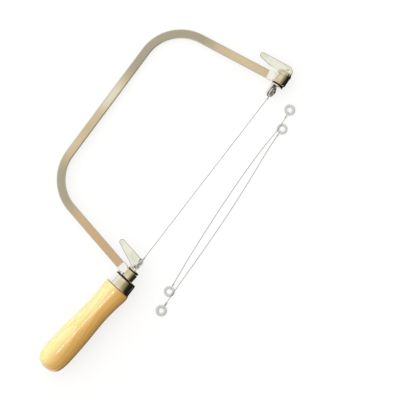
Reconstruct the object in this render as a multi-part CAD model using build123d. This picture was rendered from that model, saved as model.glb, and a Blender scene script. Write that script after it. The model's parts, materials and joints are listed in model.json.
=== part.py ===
from build123d import *
import math
import os

# Soap cutter: a spring bow holds a thin steel wire between two turned pins. Each pin turns in an eye
# brazed to the end of the bow and has a stamped lever. The near pin is drawn back by a wooden handle
# that screws on to it, which tightens the wire. Two spare wires lie beside the cutter.
# Lengths are in millimetres and angles in degrees.
#
# The bow is drawn flat: X runs along the wire from the near pin to the far one, Y towards the back of
# the bow, and Z up. At the end it is laid down on the three points that it really lies on.

# Wire and the washer ring at each of its ends
wire_length = 185.3
wire_diameter = 0.5
ring_diameter = 9.4
ring_bore = 4.6
ring_thickness = 1.0
ring_edge = 0.15
twist_diameter = 1.4
twist_length = 4.0
wire_gap = 0.1

# Button that a ring hooks over: it stands on the front of a pin, this far round from straight up
ring_turn = 68.0
button_neck = 2.8
button_head = 4.0
button_height = 1.2
button_crown = 0.5
button_root = 1.6
button_play = 0.05
ring_lift = 0.55
button_headroom = 0.2

# Bow, bent from flat steel bar
bar_width = 7.6
bar_thickness = 3.2
bar_edge = 1.0
corner_radius = 37.0
near_corner_height = 104.3
far_corner_height = 107.6
near_corner_inset = 9.7
far_corner_inset = 6.9

# Lean of each pin towards the back of the bow
near_tilt = 5.1
far_tilt = 4.0

# Turned pins
shank_diameter = 6.0
running_gap = 0.05
face_gap = 0.05
nose_length = 5.2
nose_reach = 6.0
nose_tip_diameter = 9.4
nose_root_diameter = 10.2
nose_tip_round = 1.6
flange_diameter = 10.8
flange_thickness = 1.2
flange_edge = 0.3
thread_spare = 24.0
thread_chamfer = 0.8
thrust_washer_diameter = 10.4
thrust_washer_thickness = 0.9

# Eyes on the ends of the bow
near_eye_diameter = 11.0
near_eye_round = 0.6
near_eye_length = 7.8
far_eye_diameter = 12.4
far_eye_round = 1.7
far_eye_length = 8.3
eye_back_round = 0.3
lug_wall = 0.5
lug_cheek = 0.9
lug_neck_width = 5.8
lug_neck_length = 5.4
lug_shoulder_length = 7.2
lug_length = 12.0
lug_edge = 0.5
near_foot_offset = 3.8
far_foot_offset = 3.6

# Domed cap behind the far eye, slotted for the lever, and the tail that carries the lever
cap_diameter = 12.8
cap_rim = 1.4
cap_dome = 3.2
cap_nose_diameter = 7.2
tail_diameter = 5.8
tail_length = 8.9
tail_rivet_inset = 1.8

# Rivets of the levers
rivet_shank = 1.6
rivet_head = 2.8
rivet_head_height = 0.5
rivet_root = 1.6

# Stamped levers
lever_thickness = 1.3
lever_root_radius = 5.4
lever_tip_radius = 2.4
lever_reach = 24.2
lever_edge = 0.8
near_lever_lean = -5.3
far_lever_lean = 4.9
near_lever_trim = 4.9
near_lever_level = 1.3
near_rivet_station = 2.9
near_rivet_side = 3.7
far_lever_reach = 10.0
lever_clearance = 0.1

# Handle
handle_gap = 0.1
front_washer_diameter = 14.8
front_washer_thickness = 1.2
ferrule_front_diameter = 20.2
ferrule_back_diameter = 22.2
ferrule_length = 10.8
ferrule_wall = 0.9
ferrule_web = 0.8
ferrule_mouth_diameter = 17.0
ferrule_mouth_round = 0.9
ferrule_lip_round = 0.6
ferrule_back_round = 0.3
tenon_gap = 0.05
grip_diameter = 25.3
grip_length = 90.8
grip_bore_gap = 0.6
grip_bore_tail = 4.0
nut_diameter = 10.0
nut_length = 14.0
nut_flange_diameter = 12.6
nut_flange_thickness = 1.2
tension_travel = 5.0

# Outline of the wooden grip, as shares of its length and of its widest diameter
grip_outline_shares = (
    (0.000, 0.905),
    (0.045, 0.955),
    (0.160, 0.885),
    (0.300, 0.850),
    (0.440, 0.900),
    (0.600, 0.965),
    (0.790, 1.000),
    (0.880, 0.972),
    (0.945, 0.865),
    (0.982, 0.640),
    (1.000, 0.380),
)

overrun = 2.0
surface_step = 0.02
bend_share = 0.45
dome_share = 0.72

# Route of each spare wire, chosen by hand in the finished part's own frame
spare_a_route = (
    (-45.3, -84.1, 1.05),
    (-37.0, -83.0, 0.62),
    (-23.0, -81.2, 0.30),
    (3.0, -78.4, 0.27),
    (40.0, -75.3, 0.28),
    (75.0, -73.5, 0.35),
    (98.0, -73.2, 1.30),
    (110.0, -73.8, 2.25),
    (118.0, -73.9, 2.45),
    (125.0, -73.2, 2.15),
    (130.7, -72.3, 1.05),
)
spare_b_route = (
    (-62.5, -89.1, 1.05),
    (-57.0, -88.8, 2.15),
    (-51.0, -88.4, 2.45),
    (-43.5, -88.0, 2.25),
    (-31.0, -87.5, 1.20),
    (-8.0, -86.7, 0.30),
    (32.0, -84.5, 0.27),
    (70.0, -80.9, 0.28),
    (91.0, -78.3, 0.38),
    (104.0, -76.9, 0.66),
    (113.8, -76.5, 1.05),
)

near_peg = Vector(0, 0, 0)
ring_slip = (ring_bore - button_neck) / 2 - button_play
peg_distance = wire_length + 2 * ring_slip
far_peg = Vector(peg_distance, 0, 0)

near_outward = Vector(-1, 0, 0).rotate(Axis.Z, -near_tilt)
far_outward = Vector(1, 0, 0).rotate(Axis.Z, far_tilt)

front_face = Vector(0, 0, 1).rotate(Axis.X, ring_turn)
flat_level = -ring_thickness / 2 - ring_lift
washer_face = nose_length + flange_thickness + face_gap
eye_face = washer_face + thrust_washer_thickness + face_gap
near_eye_back = eye_face + near_eye_length
far_eye_back = eye_face + far_eye_length
handle_face = near_eye_back + handle_gap
web_face = handle_face + front_washer_thickness
tenon_face = web_face + ferrule_web
ferrule_front = handle_face - 2 * handle_gap
shoulder_face = ferrule_front + ferrule_length
butt_face = shoulder_face + grip_length
thread_end = tenon_face + nut_length + tension_travel + thread_spare
cap_face = far_eye_back + face_gap
cap_end = cap_face + cap_rim + cap_dome
dome_face = cap_face + cap_rim
tail_end = cap_face + tail_length
far_rivet_station = tail_end - tail_rivet_inset
far_lever_level = -lever_thickness / 2
far_lever_centre = far_eye_back + far_lever_reach - lever_root_radius

near_corner = Vector(near_corner_inset, near_corner_height, 0)
far_corner = Vector(peg_distance - far_corner_inset, far_corner_height, 0)
near_foot = near_peg + near_outward * (eye_face + near_foot_offset)
far_foot = far_peg + far_outward * (eye_face + far_foot_offset)


def on_pin(shape, peg, outward):
    """Places a shape drawn about Z, with X up, on a pin's axis, from its button outwards."""
    return Plane(origin=peg, x_dir=(0, 0, 1), z_dir=outward).location * shape


def on_near_pin(shape):
    return on_pin(shape, near_peg, near_outward)


def on_far_pin(shape):
    return on_pin(shape, far_peg, far_outward)


def turned(*corners):
    """A turned solid about Z, from the radius and height of each corner of its section."""
    return revolve(Plane.XZ * make_face(Polyline(*corners, close=True)), Axis.Z)


def sleeve(outside, bore, start, length):
    """A plain ring or tube about Z."""
    return turned(
        (bore / 2, start),
        (outside / 2, start),
        (outside / 2, start + length),
        (bore / 2, start + length),
    )


def rims(shape, radius, *heights):
    """The circular edges of one radius at the given heights on Z."""
    return [
        edge
        for edge in shape.edges().filter_by(GeomType.CIRCLE)
        if abs(edge.radius - radius) < running_gap / 2
        and any(abs(edge.arc_center.Z - height) < running_gap / 2 for height in heights)
    ]


def on_ring_seat(shape, peg):
    """Places a shape drawn about Z on a peg, with Z square to the face of the ring there."""
    return Plane(origin=peg, x_dir=(1, 0, 0), z_dir=front_face).location * shape


def in_front_of(level, peg):
    """Everything near a peg that lies in front of a flat which is square to its button."""
    length = 2 * (nose_reach + overrun)
    width = 2 * (flange_diameter + overrun)
    base = (Align.CENTER, Align.CENTER, Align.MIN)
    return on_ring_seat(Pos(0, 0, level) * Box(length, width, width, align=base), peg)


def block_above(level, start, end):
    """What is milled away above a level flat, between two places on a pin."""
    size = flange_diameter + overrun
    corner = (Align.MIN, Align.CENTER, Align.MIN)
    return Pos(level, 0, start) * Box(size, size, end - start, align=corner)


def nose():
    """The tapered nose of a pin, before its flats are milled."""
    return turned(
        (0, -nose_reach),
        (nose_tip_diameter / 2 - nose_tip_round, -nose_reach),
        (nose_tip_diameter / 2, nose_tip_round - nose_reach),
        (nose_root_diameter / 2, nose_length),
        (0, nose_length),
    )


def flange():
    collar = Pos(0, 0, nose_length) * Cylinder(
        flange_diameter / 2, flange_thickness, align=(Align.CENTER, Align.CENTER, Align.MIN)
    )
    edges = rims(collar, flange_diameter / 2, nose_length, nose_length + flange_thickness)
    return chamfer(edges, flange_edge)


def shank(start, end):
    """A plain turned shank with a chamfered end."""
    radius = shank_diameter / 2
    return turned(
        (0, start),
        (radius, start),
        (radius, end - thread_chamfer),
        (radius - thread_chamfer, end),
        (0, end),
    )


def button_hole(peg):
    """The blind hole in a flat that the button's root is riveted into."""
    base = (Align.CENTER, Align.CENTER, Align.MIN)
    hole = Cylinder(button_neck / 2, button_root + overrun, align=base)
    return on_ring_seat(Pos(0, 0, flat_level - button_root) * hole, peg)


def at_near_rivet(shape):
    return Pos(near_lever_level, near_rivet_side, near_rivet_station) * Rot(0, 90, 0) * shape


def at_far_rivet(shape):
    return Pos(far_lever_level, 0, far_rivet_station) * Rot(0, 90, 0) * shape


def rivet_hole():
    """The blind hole for a lever's rivet, drawn about Z with the flat at zero."""
    base = (Align.CENTER, Align.CENTER, Align.MIN)
    return Pos(0, 0, -rivet_root) * Cylinder(rivet_shank / 2, rivet_root + overrun, align=base)


def near_pin():
    tongue = nose() - block_above(near_lever_level, -nose_reach - overrun, nose_length)
    tongue = on_near_pin(tongue - at_near_rivet(rivet_hole()))
    tongue = tongue - in_front_of(flat_level, near_peg) - button_hole(near_peg)
    return tongue + on_near_pin(flange() + shank(nose_length, thread_end))


def far_pin():
    base = (Align.CENTER, Align.CENTER, Align.MIN)
    tail = Pos(0, 0, dome_face) * Cylinder(tail_diameter / 2, tail_end - dome_face, align=base)
    tail = tail - block_above(far_lever_level, dome_face, tail_end + overrun)
    tail = tail - at_far_rivet(rivet_hole())
    stem = Cylinder(shank_diameter / 2, dome_face - nose_length, align=base)
    tongue = on_far_pin(nose()) - in_front_of(flat_level, far_peg) - button_hole(far_peg)
    return tongue + on_far_pin(flange() + Pos(0, 0, nose_length) * stem + tail)


def lever_rivet():
    """A low domed rivet through a lever, drawn about Z with the flat at zero."""
    top = lever_thickness
    return turned(
        (0, -rivet_root),
        (rivet_shank / 2, -rivet_root),
        (rivet_shank / 2, top),
        (rivet_head / 2, top),
        (rivet_head / 2, top + rivet_head_height / 2),
        (rivet_shank / 2, top + rivet_head_height),
        (0, top + rivet_head_height),
    )


def wire_button(peg):
    """The headed button that a ring hooks over."""
    under_head = ring_lift + ring_thickness + button_headroom
    top = under_head + button_height
    neck = button_neck / 2
    head = button_head / 2
    button = turned(
        (0, -button_root),
        (neck, -button_root),
        (neck, under_head),
        (head, under_head),
        (head, top - button_crown),
        (head - button_crown, top),
        (0, top),
    )
    return on_ring_seat(Pos(0, 0, flat_level) * button, peg)


def thrust_washer():
    bore = shank_diameter + 2 * running_gap
    return sleeve(thrust_washer_diameter, bore, washer_face, thrust_washer_thickness)


def far_cap():
    """The domed cap that keeps the far pin in its eye, slotted across for the lever."""
    rim = cap_diameter / 2
    crown = cap_nose_diameter / 2
    section = Polyline(
        (crown, cap_end),
        (shank_diameter / 2, cap_end),
        (shank_diameter / 2, cap_face),
        (rim, cap_face),
        (rim, dome_face),
    )
    middle = (crown + (rim - crown) * dome_share, dome_face + cap_dome * dome_share)
    dome = Spline((rim, dome_face), middle, (crown, cap_end), tangents=[(0, 1), (-1, 0)])
    cap = revolve(Plane.XZ * make_face(section + dome), Axis.Z)
    width = lever_thickness + 2 * lever_clearance
    length = 2 * cap_diameter
    slot = Pos(far_lever_level - lever_clearance, 0, dome_face) * Box(
        width, length, length, align=(Align.MIN, Align.CENTER, Align.MIN)
    )
    return on_far_pin(cap - slot)


def lever_plate(lean, trim):
    """A stamped lever, flat on XY, with its root round the origin and its tab along Y."""
    root = Circle(lever_root_radius)
    tip = Pos(lever_root_radius - lever_tip_radius, lever_reach) * Circle(lever_tip_radius)
    outline = make_hull(root.edges() + tip.edges())
    plate = extrude(Rot(0, 0, lean) * outline, lever_thickness)
    top = plate.edges().filter_by_position(Axis.Z, lever_thickness, lever_thickness)
    plate = fillet(top, lever_edge)
    size = 2 * lever_reach + overrun
    side = (Align.MAX, Align.CENTER, Align.CENTER)
    return plate - Pos(-trim, 0, 0) * Box(size, size, size, align=side)


def near_lever():
    seat = Plane(origin=(near_lever_level, 0, 0), x_dir=(0, 0, -1), z_dir=(1, 0, 0))
    plate = seat.location * lever_plate(near_lever_lean, near_lever_trim)
    plate = on_near_pin(plate - at_near_rivet(rivet_hole()))
    return plate - in_front_of(flat_level - lever_clearance, near_peg)


def far_lever():
    trim = far_lever_centre - dome_face - lever_clearance
    seat = Plane(origin=(far_lever_level, 0, far_lever_centre), x_dir=(0, 0, 1), z_dir=(1, 0, 0))
    plate = seat.location * lever_plate(far_lever_lean, trim)
    return on_far_pin(plate - at_far_rivet(rivet_hole()))


def barrel(diameter, length, front_round, back_round):
    """The barrel of an eye about Z, before it is bored."""
    end = eye_face + length
    blank = Pos(0, 0, eye_face) * Cylinder(
        diameter / 2, length, align=(Align.CENTER, Align.CENTER, Align.MIN)
    )
    blank = fillet(rims(blank, diameter / 2, eye_face), front_round)
    return fillet(rims(blank, diameter / 2, end), back_round)


def eye(blank, length, foot_offset, peg, outward, corner):
    """An eye: a bored barrel for the pin and a socketed lug that holds the end of the bow."""
    bore = shank_diameter + 2 * running_gap
    foot = peg + outward * (eye_face + foot_offset)
    along = (corner - foot).normalized()
    seat = Plane(origin=foot, x_dir=along, z_dir=(0, 0, 1))
    neck = lug_neck_width / 2
    wide = bar_width / 2 + lug_wall
    high = bar_thickness + 2 * lug_cheek
    outline = Polyline(
        (0, -neck),
        (lug_neck_length, -neck),
        (lug_shoulder_length, -wide),
        (lug_length, -wide),
        (lug_length, wide),
        (lug_shoulder_length, wide),
        (lug_neck_length, neck),
        (0, neck),
        close=True,
    )
    lug = extrude(make_face(outline), high / 2, both=True)
    lug = chamfer(lug.edges().filter_by(Axis.Z, reverse=True).group_by(Axis.Z)[-1], lug_edge)
    lug = chamfer(lug.edges().filter_by(Axis.Z, reverse=True).group_by(Axis.Z)[0], lug_edge)
    socket = Pos(lug_shoulder_length, 0, 0) * Box(
        lug_length, bar_width, bar_thickness, align=(Align.MIN, Align.CENTER, Align.CENTER)
    )
    lug = seat.location * (lug - socket)
    hole = Pos(0, 0, eye_face - overrun) * Cylinder(
        bore / 2, length + 2 * overrun, align=(Align.CENTER, Align.CENTER, Align.MIN)
    )
    return on_pin(blank, peg, outward) + lug - on_pin(hole, peg, outward)


def near_eye():
    blank = barrel(near_eye_diameter, near_eye_length, near_eye_round, near_eye_round)
    return eye(blank, near_eye_length, near_foot_offset, near_peg, near_outward, near_corner)


def far_eye():
    blank = barrel(far_eye_diameter, far_eye_length, far_eye_round, eye_back_round)
    return eye(blank, far_eye_length, far_foot_offset, far_peg, far_outward, far_corner)


def bow_bar():
    """The bow, one flat bar bent round two corners, with its ends in the lugs' sockets."""
    near_end = near_foot + (near_corner - near_foot).normalized() * lug_shoulder_length
    far_end = far_foot + (far_corner - far_foot).normalized() * lug_shoulder_length
    route = FilletPolyline(near_end, near_corner, far_corner, far_end, radius=corner_radius)
    across = Plane(origin=near_end, x_dir=(0, 0, 1), z_dir=near_corner - near_end)
    section = across * RectangleRounded(bar_thickness, bar_width, bar_edge)
    bent = sweep(section, path=route)
    square_end = Rectangle(bar_thickness, bar_width)
    grip_in_lug = lug_length - lug_shoulder_length
    near_plug = extrude(across * square_end, grip_in_lug)
    far_across = Plane(origin=far_end, x_dir=(0, 0, 1), z_dir=far_corner - far_end)
    far_plug = extrude(far_across * square_end, grip_in_lug)
    return bent + near_plug + far_plug


def wire_ring():
    """A small flat washer ring, centred on the origin."""
    ring = Cylinder(ring_diameter / 2, ring_thickness) - Cylinder(ring_bore / 2, ring_thickness)
    return chamfer(ring.edges().filter_by(GeomType.CIRCLE), ring_edge)


def twist_at(start, towards):
    """The wire's end twisted back on itself, where it leaves a ring."""
    seat = Plane(origin=start, z_dir=towards)
    return seat.location * Cylinder(
        twist_diameter / 2, twist_length, align=(Align.CENTER, Align.CENTER, Align.MIN)
    )


def ring_centre(start, towards):
    """The centre of the ring behind the end of a wire."""
    flat = Vector(towards.X, towards.Y, 0).normalized()
    return start - flat * (ring_diameter / 2 + wire_gap)


def cutting_wire():
    start = near_peg + Vector(ring_slip + ring_diameter / 2 + wire_gap, 0, 0)
    end = far_peg - Vector(ring_slip + ring_diameter / 2 + wire_gap, 0, 0)
    along = (end - start).normalized()
    run = Plane(origin=start, z_dir=along).location * Cylinder(
        wire_diameter / 2, (end - start).length, align=(Align.CENTER, Align.CENTER, Align.MIN)
    )
    return run + twist_at(start, along) + twist_at(end, -along)


def near_ring():
    return on_ring_seat(Pos(ring_slip, 0, 0) * wire_ring(), near_peg)


def far_ring():
    return on_ring_seat(Pos(-ring_slip, 0, 0) * wire_ring(), far_peg)


def handle_ferrule():
    """The plated ferrule: a slightly tapered cap with a deep mouth round the front washer."""
    front = ferrule_front_diameter / 2
    back = ferrule_back_diameter / 2
    mouth = ferrule_mouth_diameter / 2
    inside = front - ferrule_wall
    outline = (
        (mouth, ferrule_front),
        (front, ferrule_front),
        (back, shoulder_face),
        (back - ferrule_wall, shoulder_face),
        (inside, tenon_face),
        (shank_diameter / 2 + grip_bore_gap, tenon_face),
        (shank_diameter / 2 + grip_bore_gap, web_face),
        (mouth, web_face),
    )
    shell = turned(*outline)
    shell = fillet(rims(shell, front, ferrule_front), ferrule_mouth_round)
    shell = fillet(rims(shell, mouth, ferrule_front), ferrule_lip_round)
    return on_near_pin(fillet(rims(shell, back, shoulder_face), ferrule_back_round))


def handle_front_washer():
    bore = shank_diameter + 2 * running_gap
    return on_near_pin(sleeve(front_washer_diameter, bore, handle_face, front_washer_thickness))


def handle_nut():
    """The threaded insert inside the handle that draws the pin back."""
    bore = shank_diameter + 2 * running_gap
    body = sleeve(nut_diameter, bore, tenon_face, nut_length)
    return on_near_pin(body + sleeve(nut_flange_diameter, bore, tenon_face, nut_flange_thickness))


def handle_grip():
    """The turned wooden grip, with its tenon inside the ferrule and a bore for nut and shank."""
    widest = grip_diameter / 2
    points = [
        (share * widest, shoulder_face + along * grip_length)
        for along, share in grip_outline_shares
    ]
    side = Spline(*points)
    tenon_front = ferrule_front_diameter / 2 - ferrule_wall - tenon_gap
    tenon_back = ferrule_back_diameter / 2 - ferrule_wall - tenon_gap
    rest = Polyline(
        points[-1],
        (0, butt_face),
        (0, tenon_face + tenon_gap),
        (tenon_front, tenon_face + tenon_gap),
        (tenon_back, shoulder_face),
        points[0],
    )
    outside = revolve(Plane.XZ * make_face(side + rest), Axis.Z)
    base = (Align.CENTER, Align.CENTER, Align.MIN)
    bore_length = thread_end + grip_bore_tail - tenon_face + overrun
    front = tenon_face - overrun
    bore = Pos(0, 0, front) * Cylinder(shank_diameter / 2 + grip_bore_gap, bore_length, align=base)
    bore = bore + Pos(0, 0, front) * Cylinder(nut_diameter / 2, nut_length + overrun, align=base)
    bore = bore + Pos(0, 0, front) * Cylinder(
        nut_flange_diameter / 2, nut_flange_thickness + overrun, align=base
    )
    return on_near_pin(outside - bore)


def floor_plane():
    """The surface under the cutter: it touches the grip's shoulder, the far cap and the far corner."""
    up = Vector(0, 0, 1)
    along_share, radius_share = grip_outline_shares[1]
    shoulder = near_peg + near_outward * (shoulder_face + along_share * grip_length)
    shoulder = shoulder - up * (radius_share * grip_diameter / 2)
    cap = far_peg + far_outward * (cap_face + cap_rim / 2) - up * (cap_diameter / 2)
    to_near = (near_corner - far_corner).normalized()
    to_foot = (far_foot - far_corner).normalized()
    inward = (to_near + to_foot).normalized()
    half_corner = math.radians(to_near.get_angle(to_foot) / 2)
    outer_radius = corner_radius + bar_width / 2 - bar_edge
    arc_reach = corner_radius / math.sin(half_corner) - outer_radius
    corner = far_corner + inward * arc_reach - up * (bar_thickness / 2)
    normal = (cap - shoulder).cross(corner - shoulder).normalized()
    along = (Vector(1, 0, 0) - normal * normal.X).normalized()
    return Plane(origin=near_peg, x_dir=along, z_dir=normal)


def bow_pieces():
    """Every piece of the cutter itself, still in the flat frame of the bow."""
    return {
        "bow_bar": bow_bar(),
        "near_eye": near_eye(),
        "far_eye": far_eye(),
        "cutting_wire": cutting_wire(),
        "near_pin": near_pin(),
        "near_lever": near_lever(),
        "near_lever_rivet": on_near_pin(at_near_rivet(lever_rivet())),
        "near_wire_button": wire_button(near_peg),
        "near_ring": near_ring(),
        "near_thrust_washer": on_near_pin(thrust_washer()),
        "far_pin": far_pin(),
        "far_lever": far_lever(),
        "far_lever_rivet": on_far_pin(at_far_rivet(lever_rivet())),
        "far_wire_button": wire_button(far_peg),
        "far_ring": far_ring(),
        "far_thrust_washer": on_far_pin(thrust_washer()),
        "far_cap": far_cap(),
        "handle_grip": handle_grip(),
        "handle_ferrule": handle_ferrule(),
        "handle_front_washer": handle_front_washer(),
        "handle_nut": handle_nut(),
    }


def spare_wire(route):
    """A spare wire along its route, and the two rings that its ends are wound on."""
    points = [Vector(*point) for point in route]
    runs = [after - before for before, after in zip(points, points[1:])]
    radii = []
    for before, after in zip(runs, runs[1:]):
        half_turn = math.radians(before.get_angle(after) / 2)
        shorter = min(before.length, after.length)
        radii.append(bend_share * shorter / math.tan(half_turn))
    print("bend radii", [round(radius) for radius in radii])
    path = FilletPolyline(*points, radius=radii)
    print("wire length", round(path.length, 1))
    section = Plane(origin=points[0], z_dir=runs[0]) * Circle(wire_diameter / 2)
    tube = sweep(section, path=path)
    wire = tube + twist_at(points[0], runs[0]) + twist_at(points[-1], -runs[-1])
    near = Pos(ring_centre(points[0], runs[0])) * wire_ring()
    far = Pos(ring_centre(points[-1], -runs[-1])) * wire_ring()
    return wire, near, far


def stand_on_floor(pieces):
    """Lays the bow down and moves the middle of its base to the origin."""
    floor = floor_plane()
    laid = {name: floor.to_local_coords(shape) for name, shape in pieces.items()}
    points = [point for shape in laid.values() for point in shape.tessellate(surface_step)[0]]
    middle_x = (min(p.X for p in points) + max(p.X for p in points)) / 2
    middle_y = (min(p.Y for p in points) + max(p.Y for p in points)) / 2
    shift = Vector(-middle_x, -middle_y, -min(p.Z for p in points))
    return {name: Pos(shift) * shape for name, shape in laid.items()}, floor, shift


def build():
    pieces, floor, shift = stand_on_floor(bow_pieces())
    for letter, route in (("a", spare_a_route), ("b", spare_b_route)):
        wire, near, far = spare_wire(route)
        pieces[f"spare_wire_{letter}"] = wire
        pieces[f"spare_ring_{letter}_near"] = near
        pieces[f"spare_ring_{letter}_far"] = far
    return pieces, floor, shift


def write_parts():
    pieces, _, _ = build()
    os.makedirs("parts", exist_ok=True)
    for name, shape in pieces.items():
        export_step(shape, f"parts/{name}.step")


if __name__ == "__main__":
    write_parts()
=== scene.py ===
"""Soap cutter with a spring bow, a wooden handle and two spare wires: its finished looks."""

import json
import math

import bpy
from mathutils import Matrix, Vector


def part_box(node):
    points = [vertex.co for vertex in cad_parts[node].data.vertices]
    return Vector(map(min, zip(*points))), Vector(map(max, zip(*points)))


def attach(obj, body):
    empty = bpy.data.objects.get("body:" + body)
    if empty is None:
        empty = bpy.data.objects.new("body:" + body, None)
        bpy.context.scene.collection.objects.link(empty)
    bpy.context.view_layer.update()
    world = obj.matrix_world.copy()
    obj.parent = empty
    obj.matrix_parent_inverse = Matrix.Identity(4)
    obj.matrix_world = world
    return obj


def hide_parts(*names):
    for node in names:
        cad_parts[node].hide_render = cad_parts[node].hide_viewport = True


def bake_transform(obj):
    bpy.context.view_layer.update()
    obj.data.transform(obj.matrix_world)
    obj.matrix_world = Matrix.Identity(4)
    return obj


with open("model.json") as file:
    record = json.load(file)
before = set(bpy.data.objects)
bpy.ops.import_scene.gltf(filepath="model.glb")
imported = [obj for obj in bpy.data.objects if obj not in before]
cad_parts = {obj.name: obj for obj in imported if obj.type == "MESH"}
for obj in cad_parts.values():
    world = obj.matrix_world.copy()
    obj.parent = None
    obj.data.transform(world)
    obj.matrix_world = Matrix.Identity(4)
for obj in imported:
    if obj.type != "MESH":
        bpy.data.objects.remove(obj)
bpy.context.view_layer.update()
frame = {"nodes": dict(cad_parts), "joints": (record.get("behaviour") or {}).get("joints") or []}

bl_info = {
    "name": "Soap Cutter",
    "version": (1, 0, 0),
    "blender": (4, 5, 0),
    "location": "View3D > Sidebar > Soap Cutter",
    "description": "Builds the finished pieces of a soap cutter and gives them their materials",
    "category": "Object",
}

MM = 0.001

# The two pins' axes and the level of the bow, as the joints of the frame give them
joints = {joint["name"]: joint for joint in frame["joints"]}
near_peg = Vector(joints["handle_turn"]["pos_m"])
near_outward = Vector(joints["handle_turn"]["axis"])
far_peg = Vector(joints["far_holder_turn"]["pos_m"])
far_outward = Vector(joints["far_holder_turn"]["axis"])
bow_up = far_outward.cross(near_outward).normalized()
wire_way = (far_peg - near_peg).normalized()

# The cutter's rings hang on the front of the pins, 68 degrees round from straight up
ring_turn = math.radians(68)
ring_face = bow_up * math.cos(ring_turn) - bow_up.cross(wire_way) * math.sin(ring_turn)

# Route of each spare wire, in metres
spare_a_route = (
    (-0.0453, -0.0841, 0.00105),
    (-0.0370, -0.0830, 0.00062),
    (-0.0230, -0.0812, 0.00030),
    (0.0030, -0.0784, 0.00027),
    (0.0400, -0.0753, 0.00028),
    (0.0750, -0.0735, 0.00035),
    (0.0980, -0.0732, 0.00130),
    (0.1100, -0.0738, 0.00225),
    (0.1180, -0.0739, 0.00245),
    (0.1250, -0.0732, 0.00215),
    (0.1307, -0.0723, 0.00105),
)
spare_b_route = (
    (-0.0625, -0.0891, 0.00105),
    (-0.0570, -0.0888, 0.00215),
    (-0.0510, -0.0884, 0.00245),
    (-0.0435, -0.0880, 0.00225),
    (-0.0310, -0.0875, 0.00120),
    (-0.0080, -0.0867, 0.00030),
    (0.0320, -0.0845, 0.00027),
    (0.0700, -0.0809, 0.00028),
    (0.0910, -0.0783, 0.00038),
    (0.1040, -0.0769, 0.00066),
    (0.1138, -0.0765, 0.00105),
)

# Outline of the grip: share of its length, share of its widest radius
grip_outline = (
    (0.000, 0.905),
    (0.045, 0.955),
    (0.160, 0.885),
    (0.300, 0.850),
    (0.440, 0.900),
    (0.600, 0.965),
    (0.790, 1.000),
    (0.880, 0.972),
    (0.945, 0.865),
    (0.982, 0.640),
    (1.000, 0.380),
)


def colour(hex_code):
    """The linear colour of an sRGB hex value."""
    parts = [int(hex_code[i : i + 2], 16) / 255 for i in (1, 3, 5)]
    return [c / 12.92 if c <= 0.04045 else ((c + 0.055) / 1.055) ** 2.4 for c in parts] + [1.0]


def length(name, description, default):
    return bpy.props.FloatProperty(
        name=name, description=description, default=default, min=0.0, unit="LENGTH", precision=5
    )


def shade(name, description, hex_code):
    return bpy.props.FloatVectorProperty(
        name=name,
        description=description,
        default=colour(hex_code),
        size=4,
        subtype="COLOR",
        min=0.0,
        max=1.0,
    )


class SoapCutterSizes(bpy.types.PropertyGroup):
    """Sizes of the pieces that are finished here."""

    wire_diameter: length("Wire", "Diameter of the cutting wire and the spares", 0.5 * MM)
    wrap_diameter: length("Wrap", "Diameter that the wound-back wire end shows", 0.44 * MM)
    ring_outside: length("Ring outside", "Outer diameter of a wire's end ring", 9.4 * MM)
    ring_inside: length("Ring bore", "Bore of a wire's end ring", 4.6 * MM)
    ring_thickness: length("Ring thickness", "Thickness of a wire's end ring", 1.0 * MM)
    ring_roll_over: length("Ring roll-over", "Rounding that the punch leaves on a ring", 0.28 * MM)
    bar_width: length("Bar width", "Width of the bow's flat bar", 7.6 * MM)
    bar_thickness: length("Bar thickness", "Thickness of the bow's flat bar", 3.2 * MM)
    bar_edge: length("Bar edge", "Rounding of the flat bar's edges", 1.0 * MM)
    corner_radius: length("Bow corner", "Radius of the bow's corners at mid width", 37.0 * MM)
    grip_length: length("Grip", "Length of the wood behind the ferrule", 90.8 * MM)
    grip_diameter: length("Grip diameter", "Widest diameter of the grip", 25.3 * MM)
    ferrule_front: length("Ferrule front", "Diameter of the ferrule at its mouth", 20.2 * MM)
    ferrule_back: length("Ferrule back", "Diameter of the ferrule at the wood", 22.2 * MM)
    wraps: bpy.props.IntProperty(
        name="Wraps", description="Turns of each wound-back wire end", default=5, min=3, max=12
    )


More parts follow.
